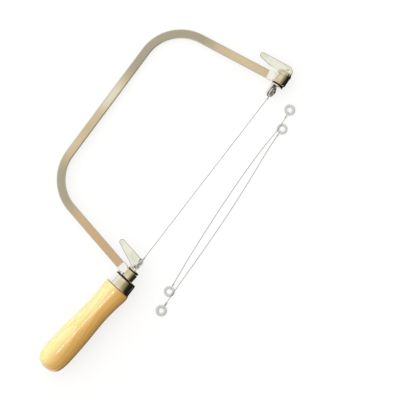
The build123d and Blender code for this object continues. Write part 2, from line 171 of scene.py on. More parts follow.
class SoapCutterColours(bpy.types.PropertyGroup):
    """Colours of the finishes."""

    # Wood tones; the grip lays its sapwood on the lit back side as painted light
    sap_pale: shade("Sapwood", "Pale wood on the outer side of the board", "#F5F4AE")
    sap_dark: shade("Sapwood ring", "Year rings in the sapwood", "#F0E890")
    heart_pale: shade("Heartwood", "Wood on the inner side of the board", "#F6C46C")
    heart_dark: shade("Heartwood ring", "Year rings in the heartwood", "#ECB35A")
    wood_fleck: shade("Fleck", "Short dark flecks of the rays", "#A9722F")
    bow_pale: shade("Bow pale", "Brightest tone of the bow's nickel", "#DCC8A4")
    bow_warm: shade("Bow warm", "Warm tone of the bow's nickel", "#C8B594")
    bow_bent: shade("Bow bent", "Tone of the nickel on the bow's bends", "#ACA48F")
    bow_copper: shade("Bow copper", "Warmer nickel near the handle", "#D0AE87")
    # Pale patch painted on the middle of the bow's back: a painted highlight
    bow_painted_highlight: shade("Bow worn", "Nickel rubbed bright in the middle of the back", "#E6E1D0")
    # Greyer tone painted on the bow's rounded edges: a painted reflection
    bow_edge_reflection: shade("Bow edge", "Tone of the bow's rolled edges", "#C4C7B8")
    nickel: shade("Nickel", "Bright nickel of the turned pieces", "#E6DDC3")
    nickel_dull: shade("Nickel dulled", "Nickel where fingers have dulled it", "#CBBE9C")
    # Near-white tone painted on one side of the eyes and of the ferrule: a painted highlight
    painted_highlight: shade("Lug", "Nickel of the lugs that hold the bow", "#F3F1E8")
    pin: shade("Pin", "Nickel of the pins and washers", "#F1EEDF")
    pin_dull: shade("Pin dulled", "Nickel of the pins where it is thinner", "#DAD4BC")
    lever: shade("Lever", "Nickel of the stamped levers", "#EEEDDD")
    lever_dull: shade("Lever dulled", "Nickel of the levers where it is thinner", "#DCDBC8")
    ferrule: shade("Ferrule", "Polished nickel of the ferrule", "#E3DCC2")
    # Near black painted into the ferrule's mouth: painted shade in the recess
    mouth_shade: shade("Grime", "Old grease in the ferrule's mouth", "#1E1A14")
    # Darker tone painted on the levers' rounded edges: a painted reflection
    lever_edge_reflection: shade("Lever edge", "Thin nickel on the levers' rounded edges", "#8C8D80")
    # Dark band on the wood against the ferrule: painted shade where the two meet
    shade_at_ferrule: shade("Stained end", "End grain against the ferrule", "#8A6630")
    zinc: shade("Zinc", "Dull zinc of the rings", "#E6E9EC")
    # Near-black tone of the thrust washers
    washer_tone: shade("Black oxide", "Oiled black oxide of the thrust washers", "#40372F")
    wire: shade("Wire", "Drawn wire", "#ABABA8")
    # Lighter tone for the wound-back ends: painted light against the shade between the wraps
    wire_end_lightened: shade("Wire end", "Wire where it is wound back, bright from bending", "#E6E6E0")
    steel: shade("Steel", "Plain steel of the nut", "#9C9A95")
    floor: shade("Floor", "Plain pale floor", "#989795")


def seat(origin, x_way, z_way):
    """The placing of a drawing whose origin, X and Z lie so in the frame."""
    turn = Matrix((x_way, z_way.cross(x_way), z_way)).transposed()
    return Matrix.Translation(origin) @ turn.to_4x4()


near_seat = seat(near_peg, bow_up, near_outward)
far_seat = seat(far_peg, bow_up, far_outward)
bow_seat = seat(near_peg, wire_way, bow_up)


# Materials


def add_node(tree, kind, values=(), links=(), **settings):
    """Adds a node with its settings, the constants of its sockets and the links into them."""
    node = tree.nodes.new(kind)
    for name, value in settings.items():
        setattr(node, name, value)
    for socket, value in dict(values).items():
        node.inputs[socket].default_value = value
    for socket, source in dict(links).items():
        tree.links.new(source, node.inputs[socket])
    return node


def new_finish(name):
    """A material with an empty node tree and its output."""
    finish = bpy.data.materials.new(name)
    finish.use_nodes = True
    finish.node_tree.nodes.clear()
    return finish, finish.node_tree


def spread(tree, source, dark, pale, low, high):
    """Two colours mixed by a pattern, between two of its values."""
    ramp = add_node(tree, "ShaderNodeValToRGB", links={0: source})
    ramp.color_ramp.elements[0].position = low
    ramp.color_ramp.elements[0].color = dark
    ramp.color_ramp.elements[1].position = high
    ramp.color_ramp.elements[1].color = pale
    return ramp.outputs[0]


def axis_value(tree, source, axis):
    """One coordinate of a place or direction: 0 for X, 1 for Y, 2 for Z."""
    return add_node(tree, "ShaderNodeSeparateXYZ", links={0: source}).outputs[axis]


def arithmetic(tree, operation, links, values=()):
    """The result of one operation on one or two numbers."""
    return add_node(tree, "ShaderNodeMath", values, links, operation=operation).outputs[0]


def ranged(tree, source, start, end, low=0.0, high=1.0, smooth=False):
    """Low where the source is at start, high where it is at end, and between them in between."""
    return add_node(
        tree,
        "ShaderNodeMapRange",
        values={1: start, 2: end, 3: low, 4: high},
        links={0: source},
        interpolation_type="SMOOTHSTEP" if smooth else "LINEAR",
    ).outputs[0]


def noise(tree, place, scale, detail, roughness=0.5, distortion=0.0):
    """A soft random pattern from 0 to 1."""
    return add_node(
        tree,
        "ShaderNodeTexNoise",
        values={
            "Scale": scale,
            "Detail": detail,
            "Roughness": roughness,
            "Distortion": distortion,
        },
        links={"Vector": place},
    ).outputs[0]


def stretched(tree, place, lengths):
    """A place counted in the given lengths along X, Y and Z."""
    scale = [1 / step for step in lengths]
    mapping = add_node(tree, "ShaderNodeMapping", values={"Scale": scale}, links={0: place})
    return mapping.outputs[0]


def on_seat(tree, place, pin_seat):
    """A place measured from a seat, with Z along the pin that sits there."""
    to_pin = pin_seat.inverted()
    return add_node(
        tree,
        "ShaderNodeMapping",
        values={"Location": to_pin.translation, "Rotation": to_pin.to_euler()},
        links={0: place},
    ).outputs[0]


def tinted(tree, tone, share, tint):
    """A tone mixed with one colour by a share."""
    return add_node(
        tree, "ShaderNodeMix", values={7: tint}, links={0: share, 6: tone}, data_type="RGBA"
    ).outputs[2]


def soft_band(tree, source, middle, full, gone, most):
    """A share that is greatest at one place along a length and fades out on both sides of it."""
    away = arithmetic(tree, "SUBTRACT", {0: source}, {1: middle})
    return ranged(tree, arithmetic(tree, "ABSOLUTE", {0: away}), full, gone, most, 0.0, smooth=True)


def close(tree, values, links, bump, bump_depth):
    """Ends a material in its shader, with a bump of a real depth."""
    relief = add_node(
        tree,
        "ShaderNodeBump",
        values={"Strength": 1.0, "Distance": bump_depth},
        links={"Height": bump},
    )
    links = dict(links, Normal=relief.outputs[0])
    surface = add_node(tree, "ShaderNodeBsdfPrincipled", values=values, links=links)
    add_node(tree, "ShaderNodeOutputMaterial", links={"Surface": surface.outputs[0]})


def plated(name, dark, pale, cloud, grit, rough_low, rough_high, painted_highlight=None, mouth=None, edge=None):
    """A metal finish: two tones in soft clouds over a fine grit of polish.

    cloud and grit are the real widths of those two patterns, in metres. rough_low is the roughness
    of the pale tone and rough_high that of the dark one. painted_highlight paints a highlight on
    one
    side of a piece on a pin: the colour, the pin's seat, and 1 or -1 for the side. mouth is the
    colour of a painted shade on a rim that is turned about the near pin, and where it ends along
    the pin.
    edge is the colour of a painted reflection on the rounded edges of a flat stamping, where they
    turn away from up."""
    finish, tree = new_finish(name)
    coordinates = add_node(tree, "ShaderNodeTexCoord").outputs
    place = coordinates["Object"]
    clouds = noise(tree, place, 1 / cloud, 3.0, 0.5, 0.6)
    tone = spread(tree, clouds, dark, pale, 0.36, 0.62)
    # One side of a piece on a pin is painted near white: a painted highlight
    if painted_highlight is not None:
        highlight_tint, pin_seat, highlight_sign = painted_highlight
        side = axis_value(tree, on_seat(tree, place, pin_seat), 1)
        share = ranged(tree, side, highlight_sign * 3.6 * MM, highlight_sign * 5.0 * MM, smooth=True)
        tone = tinted(tree, tone, share, highlight_tint)
    if mouth is not None:
        # The rim is painted near black up to a station along the pin: painted shade in the
        # ferrule's mouth
        mouth_shade, last = mouth
        station = axis_value(tree, on_seat(tree, place, near_seat), 2)
        tone = tinted(tree, tone, ranged(tree, station, last, last - 0.5 * MM), mouth_shade)
    # Faces of a stamping that turn away from up are painted darker: a painted reflection on its
    # rounded edges
    if edge is not None:
        facing = add_node(
            tree,
            "ShaderNodeVectorMath",
            values={1: bow_up},
            links={0: coordinates["Normal"]},
            operation="DOT_PRODUCT",
        ).outputs["Value"]
        tone = tinted(tree, tone, ranged(tree, facing, 0.97, 0.60), edge)
    close(
        tree,
        {"Metallic": 1.0},
        {
            "Base Color": tone,
            "Roughness": ranged(tree, clouds, 0.0, 1.0, rough_high, rough_low),
        },
        noise(tree, place, 1 / grit, 4.0, 0.7),
        0.004 * MM,
    )
    return finish


def rolled_bar_nickel(colours, copper, bends, glare):
    """Satin nickel over rolled spring bar: fine lines run along it, its edges have a painted
    reflection.

    copper and glare are how far along the bar its warmest place and its painted highlight lie.
    bends gives for each bend where its middle lies, how far from there it is quite dull, and how
    far away that ends. All are in metres."""
    finish, tree = new_finish("satin_nickel_on_rolled_bar")
    place = add_node(tree, "ShaderNodeTexCoord").outputs
    # The map gives metres along the bar and across it: the lines are 30 mm long, 0.12 mm apart
    lines = noise(tree, stretched(tree, place["UV"], (0.03, 0.00012, 1.0)), 1.0, 2.0)
    clouds = noise(tree, place["Object"], 1 / 0.045, 3.0, 0.55, 0.4)
    tone = spread(tree, clouds, colours.bow_warm, colours.bow_pale, 0.38, 0.70)
    station, across = (axis_value(tree, place["UV"], axis) for axis in (0, 1))
    # The nickel is warmer near the handle and duller on the bends, and a pale patch is painted on
    # the middle of the back as a highlight
    bands = [(copper, 0.018, 0.050, 0.85, colours.bow_copper)]
    bands += [(*bend, 0.9, colours.bow_bent) for bend in bends]
    bands.append((glare, 0.004, 0.023, 0.6, colours.bow_painted_highlight))
    for *band, tint in bands:
        tone = tinted(tree, tone, soft_band(tree, station, *band), tint)
    # The rounded edges are painted a greyer tone: a painted reflection
    offset = arithmetic(tree, "ABSOLUTE", {0: across})
    edge = ranged(tree, offset, 2.7 * MM, 3.3 * MM, smooth=True)
    tone = tinted(tree, tone, edge, colours.bow_edge_reflection)
    close(
        tree,
        {"Metallic": 1.0},
        {"Base Color": tone, "Roughness": ranged(tree, lines, 0.0, 1.0, 0.22, 0.40)},
        lines,
        0.006 * MM,
    )
    return finish


def varnished_wood(colours):
    """Pale beech under gloss varnish: year rings cut by the lathe, fine fibres, ray flecks."""
    finish, tree = new_finish("beech_under_gloss_varnish")
    place = add_node(tree, "ShaderNodeTexCoord").outputs["Object"]
    grip_place = on_seat(tree, place, near_seat)
    # The heart of the tree lies 30 mm beside the grip, so the rings cross it as long flames
    heart = add_node(
        tree,
        "ShaderNodeMapping",
        values={"Location": (0.030, 0.012, 0.0), "Rotation": (0.03, 0.05, 0.0)},
        links={0: grip_place},
    ).outputs[0]
    ring_width = 2.6 * MM
    rings = add_node(
        tree,
        "ShaderNodeTexWave",
        values={
            "Scale": 2 * math.pi / (20 * ring_width),
            "Distortion": 0.9,
            "Detail": 2.0,
            "Detail Scale": 0.8,
            "Detail Roughness": 0.5,
        },
        links={0: heart},
        wave_type="RINGS",
        rings_direction="Z",
        wave_profile="SAW",
    ).outputs["Fac"]
    fibres = noise(tree, stretched(tree, grip_place, (0.0009, 0.0009, 0.022)), 1.0, 3.0, 0.6)
    flecks = add_node(
        tree,
        "ShaderNodeTexVoronoi",
        values={"Scale": 1.0, "Randomness": 1.0},
        links={0: stretched(tree, grip_place, (0.0007, 0.0007, 0.0035))},
    ).outputs["Distance"]
    # The pale sapwood is laid on the back side of the grip, where the light falls, and the
    # heartwood in front: real wood tones placed as painted light and shade
    side, station = (axis_value(tree, grip_place, axis) for axis in (1, 2))
    heart_on_shade_side = ranged(tree, side, 6.5 * MM, -3.5 * MM, smooth=True)
    sap_on_lit_side = spread(tree, rings, colours.sap_pale, colours.sap_dark, 0.15, 0.98)
    heart_tone = spread(tree, rings, colours.heart_pale, colours.heart_dark, 0.15, 0.98)
    tone = add_node(
        tree, "ShaderNodeMix", links={0: heart_on_shade_side, 6: sap_on_lit_side, 7: heart_tone}, data_type="RGBA"
    ).outputs[2]
    # Streaks along the fibres, flecks of the rays, and a dark band painted on the wood against the
    # ferrule as shade between the two
    for share, tint in (
        (ranged(tree, fibres, 0.45, 0.70, 0.0, 0.55), colours.heart_dark),
        (ranged(tree, flecks, 0.10, 0.24, 0.38, 0.0), colours.wood_fleck),
        (ranged(tree, station, 26.9 * MM, 26.2 * MM), colours.shade_at_ferrule),
    ):
        tone = tinted(tree, tone, share, tint)
    close(
        tree,
        {"IOR": 1.5, "Coat Weight": 1.0, "Coat Roughness": 0.09, "Coat IOR": 1.52},
        {"Base Color": tone, "Roughness": ranged(tree, fibres, 0.0, 1.0, 0.34, 0.52)},
        fibres,
        0.012 * MM,
    )
    return finish


def drawn_wire_steel(colours):
    """Stainless wire as it leaves the die, and its wound-back ends painted lighter against the
    shade between the wraps.
    """
    surface = (4 * MM, 0.3 * MM, 0.45, 0.55)
    drawn = plated("drawn_stainless_wire", colours.wire, colours.wire, *surface)
    lightened_ends = plated("lightened_wire_ends", colours.wire_end_lightened, colours.wire_end_lightened, *surface)
    return drawn, lightened_ends


# Modelling


def add_primitive(add, name, **settings):
    """Adds a primitive with nothing else selected, and names it."""
    bpy.ops.object.select_all(action="DESELECT")
    add(**settings)
    piece = bpy.context.active_object
    piece.name = name
    piece.data.name = name
    return piece


def select_alone(piece):
    bpy.ops.object.select_all(action="DESELECT")
    bpy.context.view_layer.objects.active = piece
    piece.select_set(True)


def turned(name, section, place, steps, smooth_under=math.radians(35)):
    """Turns a section, points of radius and height, about Z, and sets the piece in its place."""
    piece = add_primitive(bpy.ops.mesh.primitive_plane_add, name, size=MM)
    bpy.ops.object.mode_set(mode="EDIT")
    bpy.ops.mesh.select_all(action="SELECT")
    bpy.ops.mesh.merge(type="CENTER")
    points = [Vector((radius, 0.0, height)) for radius, height in section]
    bpy.ops.transform.translate(value=points[0])
    for before, after in zip(points, points[1:]):
        bpy.ops.mesh.extrude_region_move(TRANSFORM_OT_translate={"value": after - before})
    bpy.ops.mesh.select_all(action="SELECT")
    bpy.ops.mesh.spin(steps=steps, angle=2 * math.pi, center=(0, 0, 0), axis=(0, 0, 1))
    tidy_shell()
    bpy.ops.object.mode_set(mode="OBJECT")
    return finished(piece, place, smooth_under)


def tidy_shell():
    """Closes seams and poles and turns the faces outwards, in edit mode."""
    bpy.ops.mesh.select_all(action="SELECT")
    bpy.ops.mesh.remove_doubles(threshold=0.002 * MM)
    bpy.ops.mesh.normals_make_consistent(inside=False)


def finished(piece, place, smooth_under):
    """Puts a piece's place into its mesh and shades it."""
    piece.data.transform(place)
    select_alone(piece)
    bpy.ops.object.shade_smooth_by_angle(angle=smooth_under)
    return piece


def dress(piece, finish):
    piece.data.materials.clear()
    piece.data.materials.append(finish)


def smooth_outline(points, steps):
    """A smooth line through points, with so many steps from each to the next."""
    ends = [points[0]] + list(points) + [points[-1]]
    line = []
    for before, start, end, after in zip(ends, ends[1:], ends[2:], ends[3:]):
        for step in range(steps):
            t = step / steps
            line.append(
                tuple(
                    0.5
                    * (
                        2 * b
                        + (c - a) * t
                        + (2 * a - 5 * b + 4 * c - d) * t**2
                        + (3 * b - 3 * c + d - a) * t**3
                    )
                    for a, b, c, d in zip(before, start, end, after)
                )
            )
    return line + [tuple(points[-1])]


def smooth_line(route, name):
    """A bare curve along a route, and the points that its smooth line passes."""
    curve = bpy.data.curves.new(name, "CURVE")
    curve.dimensions = "3D"
    curve.resolution_u = 12
    spline = curve.splines.new("NURBS")
    spline.points.add(len(route) - 1)
    for point, place in zip(spline.points, route):
        point.co = (*place, 1.0)
    spline.order_u = 3
    spline.use_endpoint_u = True
    bare = bpy.data.objects.new(name + "_bare", curve)
    mesh = bpy.data.meshes.new_from_object(bare)
    line = [vertex.co.copy() for vertex in mesh.vertices]
    bpy.data.meshes.remove(mesh)
    bpy.data.objects.remove(bare)
    return curve, line


def tube(name, line, diameter):
    """A round tube through points, with closed ends, as a mesh."""
    curve = bpy.data.curves.new(name, "CURVE")
    curve.dimensions = "3D"
    curve.bevel_depth = diameter / 2
    curve.bevel_resolution = 3
    curve.use_fill_caps = True
    spline = curve.splines.new("POLY")
    spline.points.add(len(line) - 1)
    for point, place in zip(spline.points, line):
        point.co = (*place, 1.0)
    piece = bpy.data.objects.new(name, curve)
    bpy.context.scene.collection.objects.link(piece)
    select_alone(piece)
    bpy.ops.object.convert(target="MESH")
    piece = bpy.context.active_object
    bpy.ops.object.mode_set(mode="EDIT")
    tidy_shell()
    bpy.ops.object.mode_set(mode="OBJECT")
    return finished(piece, Matrix(), math.radians(60))


def along(line, distance):
    """The point that lies so far along a line, and the line's direction there."""
    for start, end in zip(line, line[1:]):
        step = (end - start).length
        if distance <= step:
            return start.lerp(end, distance / step), (end - start).normalized()
        distance -= step
    way = (line[-1] - line[-2]).normalized()
    return line[-1] + way * distance, way


def wound_end(name, line, ring_up, sizes):
    """The wire's end, round a ring's band and wound back on the wire, from the ring outwards."""
    start, way = along(line, 0.0)
    flat_way = (way - ring_up * way.dot(ring_up)).normalized()
    band_in = (sizes.ring_outside - sizes.ring_inside) / 2
    gap = sizes.wire_diameter / 2 + 0.03 * MM
    over = sizes.ring_thickness / 2 + gap
    inner = -band_in - 2 * gap
    outer = 0.10 * MM
    corners = [
        (outer, 0.0),
        (outer, over),
        (inner / 2, over),
        (inner, over),
        (inner, 0.0),
        (inner, -over),
        (inner / 2, -over),
        (outer, -over),
        (outer + 0.45 * MM, -sizes.wire_diameter),
    ]
    loop_route = [start + flat_way * x + ring_up * z for x, z in corners]
    loop = smooth_line(loop_route, name)[1]
    radius = (sizes.wire_diameter + sizes.wrap_diameter) / 2
    side = way.cross(ring_up).normalized()
    rise = side.cross(way)
    pitch = 0.52 * MM
    begin = outer + 0.5 * MM
    steps = 18
    wraps = []
    for count in range(sizes.wraps * steps + 1):
        centre, _ = along(line, begin + pitch * count / steps)
        angle = -math.pi / 2 + 2 * math.pi * count / steps
        wraps.append(centre + (side * math.cos(angle) + rise * math.sin(angle)) * radius)
    return tube(name, loop + wraps, sizes.wrap_diameter)


def wire_lead(name, line, reach, sizes):
    """The straight wire between a ring and the long run."""
    steps = 24
    points = [along(line, reach * i / steps)[0] for i in range(steps + 1)]
    return tube(name, points, sizes.wire_diameter)


def wire_ring(name, centre, ring_up, sizes):
    """A punched washer: rounded where the punch went in, a sharp rim where it came out."""
    half = sizes.ring_thickness / 2
    outside = sizes.ring_outside / 2
    inside = sizes.ring_inside / 2
    roll = sizes.ring_roll_over
    burr = 0.08 * MM
    arc = [math.radians(angle) for angle in (90, 60, 30, 0)]
    rounding = [(roll - roll * math.cos(a), half - roll + roll * math.sin(a)) for a in arc]
    section = [(outside - step, height) for step, height in rounding]
    section += [(outside, -half + 0.06 * MM), (outside - burr, -half)]
    section += [(inside + burr, -half), (inside, -half + burr)]
    section += [(inside + step, height) for step, height in reversed(rounding)]
    section.append(section[0])
    sideways = ring_up.orthogonal().normalized()
    return turned(name, section, seat(centre, sideways, ring_up), 72)


class SOAPCUTTER_OT_bow(bpy.types.Operator):
    """Bends the bow from one flat bar with rounded edges"""

    bl_idname = "soapcutter.bow"
    bl_label = "Bow"

    def execute(self, context):
        sizes = context.scene.soap_cutter_sizes
        # Drawn flat: X runs along the wire from the near pin's seat and Y towards the bow's back.
        # The reaches, in mm, are from each seat to its lug's foot and from there to the bar's end.
        near_tilt, far_tilt = math.radians(5.1), math.radians(4.0)
        near_reach, far_reach, in_socket = 11.2, 11.0, 7.2
        near_foot = Vector((-math.cos(near_tilt), math.sin(near_tilt), 0)) * near_reach * MM
        span = (far_peg - near_peg).length
        far_foot = Vector((math.cos(far_tilt), math.sin(far_tilt), 0)) * far_reach * MM
        far_foot += Vector((span, 0, 0))
        near_corner = Vector((9.7 * MM, 104.3 * MM, 0))
        far_corner = Vector((span - 6.9 * MM, 107.6 * MM, 0))
        near_end = near_foot + (near_corner - near_foot).normalized() * in_socket * MM
        far_end = far_foot + (far_corner - far_foot).normalized() * in_socket * MM
        stations = [near_end]
        bends = []
        for before, corner, after in (
            (near_end, near_corner, far_corner),
            (near_corner, far_corner, far_end),
        ):
            into = (corner - before).normalized()
            out = (after - corner).normalized()
            turn = into.angle(out)
            set_back = sizes.corner_radius * math.tan(turn / 2)
            side = Vector((0, 0, -1)).cross(into)
            start = corner - into * set_back
            stations.append(start)
            bends.append((start + side * sizes.corner_radius, turn))
            stations.append(corner + out * set_back)
        stations.append(far_end)

        piece = add_primitive(bpy.ops.mesh.primitive_plane_add, "bow", size=1.0)
        bpy.ops.object.mode_set(mode="EDIT")
        bpy.ops.transform.resize(value=(sizes.bar_width, sizes.bar_thickness, 1.0))
        bpy.ops.mesh.bevel(offset=sizes.bar_edge, segments=5, affect="VERTICES")
        bpy.ops.object.mode_set(mode="OBJECT")
        leg = (stations[1] - stations[0]).normalized()
        piece.data.transform(seat(near_end, leg.cross(Vector((0, 0, 1))), leg))
        bpy.ops.object.mode_set(mode="EDIT")
        bpy.ops.mesh.select_all(action="SELECT")
        for run in range(3):
            start, end = stations[2 * run], stations[2 * run + 1]
            steps = 6
            for _ in range(steps):
                bpy.ops.mesh.extrude_region_move(
                    TRANSFORM_OT_translate={"value": (end - start) / steps}
                )
            if run < 2:
                centre, turn = bends[run]
                bpy.ops.mesh.spin(steps=28, angle=turn, center=centre, axis=(0, 0, 1))
        tidy_shell()
        bpy.ops.object.mode_set(mode="OBJECT")

        # The map that the rolled lines follow: metres along the bar and across it
        for layer in list(piece.data.uv_layers):
            piece.data.uv_layers.remove(layer)
        layout = piece.data.uv_layers.new(name="along_bar")
        marks = []
        for vertex in piece.data.vertices:
            marks.append(bar_place(vertex.co, stations, bends, sizes.corner_radius))
        for loop in piece.data.loops:
            layout.data[loop.index].uv = marks[loop.vertex_index]
        finished(piece, bow_seat, math.radians(30))
        turns = [turn * sizes.corner_radius for _, turn in bends]
        near_leg = (stations[1] - stations[0]).length
        back = (stations[3] - stations[2]).length
        dull = (
            (near_leg + turns[0] / 2 - 6 * MM, 10 * MM, 34 * MM),
            (near_leg + turns[0] + back + turns[1] / 2 - 7 * MM, 34 * MM, 52 * MM),
        )
        # Where the painted highlight lies on the back
        glare = near_leg + turns[0] + back / 2 + 7 * MM
        dress(piece, rolled_bar_nickel(context.scene.soap_cutter_colours, 0.03, dull, glare))
        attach(piece, "frame")
        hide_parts("bow_bar")
        return {"FINISHED"}


def bar_place(point, stations, bends, radius):
    """How far along the bow a point lies, and how far outside its middle line."""
    nearest = None
    gone = 0.0
    widest_off = 6 * MM
    for run in range(3):
        start, end = stations[2 * run], stations[2 * run + 1]
        way = (end - start).normalized()
        step = min(max((point - start).dot(way), 0.0), (end - start).length)
        across = (point - start).dot(Vector((0, 0, 1)).cross(way))
        off = (point - start - way * step).length
        if nearest is None or off < nearest[0]:
            nearest = (off, gone + step, across)
        gone += (end - start).length
        if run < 2:
            centre, turn = bends[run]
            arm = point - centre
            arm.z = 0
            first = stations[2 * run + 1] - centre
            angle = first.angle(arm) if arm.length else 0.0
            across = arm.length - radius
            if angle <= turn and first.cross(arm).z <= 0 and abs(across) < widest_off:
                off = math.hypot(across, point.z)
                if off <= nearest[0] + 1e-6:
                    nearest = (off, gone + angle * radius, across)
            gone += turn * radius
    return nearest[1], nearest[2]


class SOAPCUTTER_OT_grip(bpy.types.Operator):
    """Turns the wooden grip, with its tenon and the bore for nut and pin"""

    bl_idname = "soapcutter.grip"
    bl_label = "Grip"

    def execute(self, context):
        sizes = context.scene.soap_cutter_sizes
        # Heights are from the near pin's seat: the tenon's front, the shoulder and the butt
        tenon, shoulder = 17.35 * MM, 25.9 * MM
        butt = shoulder + sizes.grip_length
        widest = sizes.grip_diameter / 2
        outline = [
            (share * widest, shoulder + part * sizes.grip_length) for part, share in grip_outline
        ]
        # From the bottom of the pin's bore, by way of the nut's seat, out to the tenon
        section = [(0.0, 64.3 * MM)]
        for radius, deep, shallow in (
            (3.6 * MM, 64.3 * MM, 31.3 * MM),
            (5.0 * MM, 31.3 * MM, 18.5 * MM),
            (6.3 * MM, 18.5 * MM, tenon),
        ):
            section += [(radius, deep), (radius, shallow)]
        section += [(9.05 * MM, tenon), (10.1 * MM, shoulder)]
        section += smooth_outline(outline, 9)
        # The lathe's dead centre leaves a small cone in the butt
        section += [
            (0.72 * outline[-1][0], butt + 0.35 * MM),
            (1.3 * MM, butt + 0.5 * MM),
            (1.1 * MM, butt + 0.42 * MM),
            (0.0, butt - 0.6 * MM),
        ]
        piece = turned("grip", section, near_seat, 96, math.radians(28))
        dress(piece, varnished_wood(context.scene.soap_cutter_colours))
        varnished = bpy.data.collections.new("varnished")
        varnished.objects.link(piece)
        bpy.data.objects["grip_glint"].light_linking.receiver_collection = varnished
        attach(piece, "handle")
        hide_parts("handle_grip")
        return {"FINISHED"}


class SOAPCUTTER_OT_ferrule(bpy.types.Operator):
    """Turns the ferrule from thin tube, with a rolled mouth and a rolled back edge"""

    bl_idname = "soapcutter.ferrule"
    bl_label = "Ferrule"

    def execute(self, context):
        sizes = context.scene.soap_cutter_sizes
        colours = context.scene.soap_cutter_colours
        front, back = 15.1 * MM, 25.9 * MM
        face, web = 16.5 * MM, 17.3 * MM
        mouth = 8.5 * MM
        outer_front, outer_back = sizes.ferrule_front / 2, sizes.ferrule_back / 2
        roll = 0.9 * MM
        curl = [math.radians(angle) for angle in (180, 150, 120, 90, 60, 30, 0)]
        lip = (outer_front - mouth) / 2
        section = [
            (mouth + lip + lip * math.cos(a), front + roll - roll * math.sin(a)) for a in curl
        ]
        section += [
            (outer_front + 0.10 * (outer_back - outer_front), front + 1.9 * MM),
            (outer_front + 0.85 * (outer_back - outer_front), back - 1.3 * MM),
            (outer_back - 0.02 * MM, back - 0.75 * MM),
            (outer_back + 0.08 * MM, back - 0.35 * MM),
            (outer_back, back - 0.06 * MM),
            (outer_back - 0.2 * MM, back),
            (outer_back - 0.9 * MM, back),
            (outer_front - 0.9 * MM, web),
            (3.6 * MM, web),
            (3.6 * MM, face),
            (mouth, face),
        ]
        section.append(section[0])
        piece = turned("ferrule", section, near_seat, 96, math.radians(40))
        finish = plated(
            "polished_nickel_ferrule",
            colours.nickel_dull,
            colours.ferrule,
            14 * MM,
            0.5 * MM,
            0.12,
            0.22,
            # The ferrule's back side is painted near white: a painted highlight
            painted_highlight=(colours.painted_highlight, near_seat, 1),
            # Painted shade in the ferrule's mouth
            mouth=(colours.mouth_shade, front + 1.7 * MM),
        )
        dress(piece, finish)
        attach(piece, "handle")
        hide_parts("handle_ferrule")
        return {"FINISHED"}


class SOAPCUTTER_OT_rings(bpy.types.Operator):
    """Punches the rings at the ends of the cutting wire and of the spares"""

    bl_idname = "soapcutter.rings"
    bl_label = "Rings"

    def execute(self, context):
        sizes = context.scene.soap_cutter_sizes
        colours = context.scene.soap_cutter_colours
        zinc = plated("dull_zinc_rings", colours.zinc, colours.zinc, 3 * MM, 0.25 * MM, 0.42, 0.58)
        upright = Vector((0, 0, 1))
        for node, body, ring_up in (
            ("near_ring", "near_holder", ring_face),
            ("far_ring", "far_holder", ring_face),
            ("spare_ring_a_near", "spare_wire_a", upright),
            ("spare_ring_a_far", "spare_wire_a", upright),
            ("spare_ring_b_near", "spare_wire_b", upright),
            ("spare_ring_b_far", "spare_wire_b", upright),
        ):
            low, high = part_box(node)
            piece = wire_ring("punched_" + node, (low + high) / 2, ring_up, sizes)
            dress(piece, zinc)
            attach(piece, body)
            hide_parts(node)
        return {"FINISHED"}


class SOAPCUTTER_OT_cutting_wire(bpy.types.Operator):
    """Strings the cutting wire between its two rings"""

    bl_idname = "soapcutter.cutting_wire"
    bl_label = "Cutting wire"

    def execute(self, context):
        sizes = context.scene.soap_cutter_sizes
        drawn, lightened_ends = drawn_wire_steel(context.scene.soap_cutter_colours)
        lead = 12 * MM
        rim = sizes.ring_outside / 2 + 0.1 * MM
        near_low, near_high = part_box("near_ring")
        far_low, far_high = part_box("far_ring")
        start = (near_low + near_high) / 2 + wire_way * rim
        end = (far_low + far_high) / 2 - wire_way * rim
        line = [start, end]
        run_start, run_end = along(line, lead)[0], along([end, start], lead)[0]
        steps = 60
        run_line = [run_start.lerp(run_end, i / steps) for i in range(steps + 1)]
        run = tube("taut_wire", run_line, sizes.wire_diameter)
        near_lead = wire_lead("near_wire_lead", line, lead, sizes)
        far_lead = wire_lead("far_wire_lead", line[::-1], lead, sizes)
        near_end = wound_end("near_wire_end", line, ring_face, sizes)
        far_end = wound_end("far_wire_end", line[::-1], ring_face, sizes)
        # The wound ends take the lighter finish: painted light
        for piece in (run, near_lead, far_lead, near_end, far_end):
            dress(piece, lightened_ends if piece in (near_end, far_end) else drawn)
        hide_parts("cutting_wire")
        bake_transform(run)
        for piece in (near_lead, near_end):
            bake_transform(piece)
        for piece in (far_lead, far_end):
            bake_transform(piece)
        return {"FINISHED"}


class SOAPCUTTER_OT_spare_wires(bpy.types.Operator):
    """Lays the two spare wires down beside the cutter"""

    bl_idname = "soapcutter.spare_wires"
    bl_label = "Spare wires"

    def execute(self, context):
        sizes = context.scene.soap_cutter_sizes
        drawn, lightened_ends = drawn_wire_steel(context.scene.soap_cutter_colours)
        upright = Vector((0, 0, 1))
        for letter, route, wire_length in (
            ("a", spare_a_route, 0.1768),
            ("b", spare_b_route, 0.1770),
        ):
            name = f"loose_wire_{letter}"
            curve, line = smooth_line(route, name)
            curve.bevel_depth = sizes.wire_diameter / 2
            curve.bevel_resolution = 3
            curve.use_fill_caps = True
            wire = bpy.data.objects.new(name, curve)
            context.scene.collection.objects.link(wire)
            near_end = wound_end(name + "_near_end", line, upright, sizes)
            far_end = wound_end(name + "_far_end", line[::-1], upright, sizes)
            body = f"spare_wire_{letter}"
            # The wound ends take the lighter finish: painted light
            for piece in (wire, near_end, far_end):
                dress(piece, drawn if piece is wire else lightened_ends)
                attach(piece, body)
            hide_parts(body)
        return {"FINISHED"}


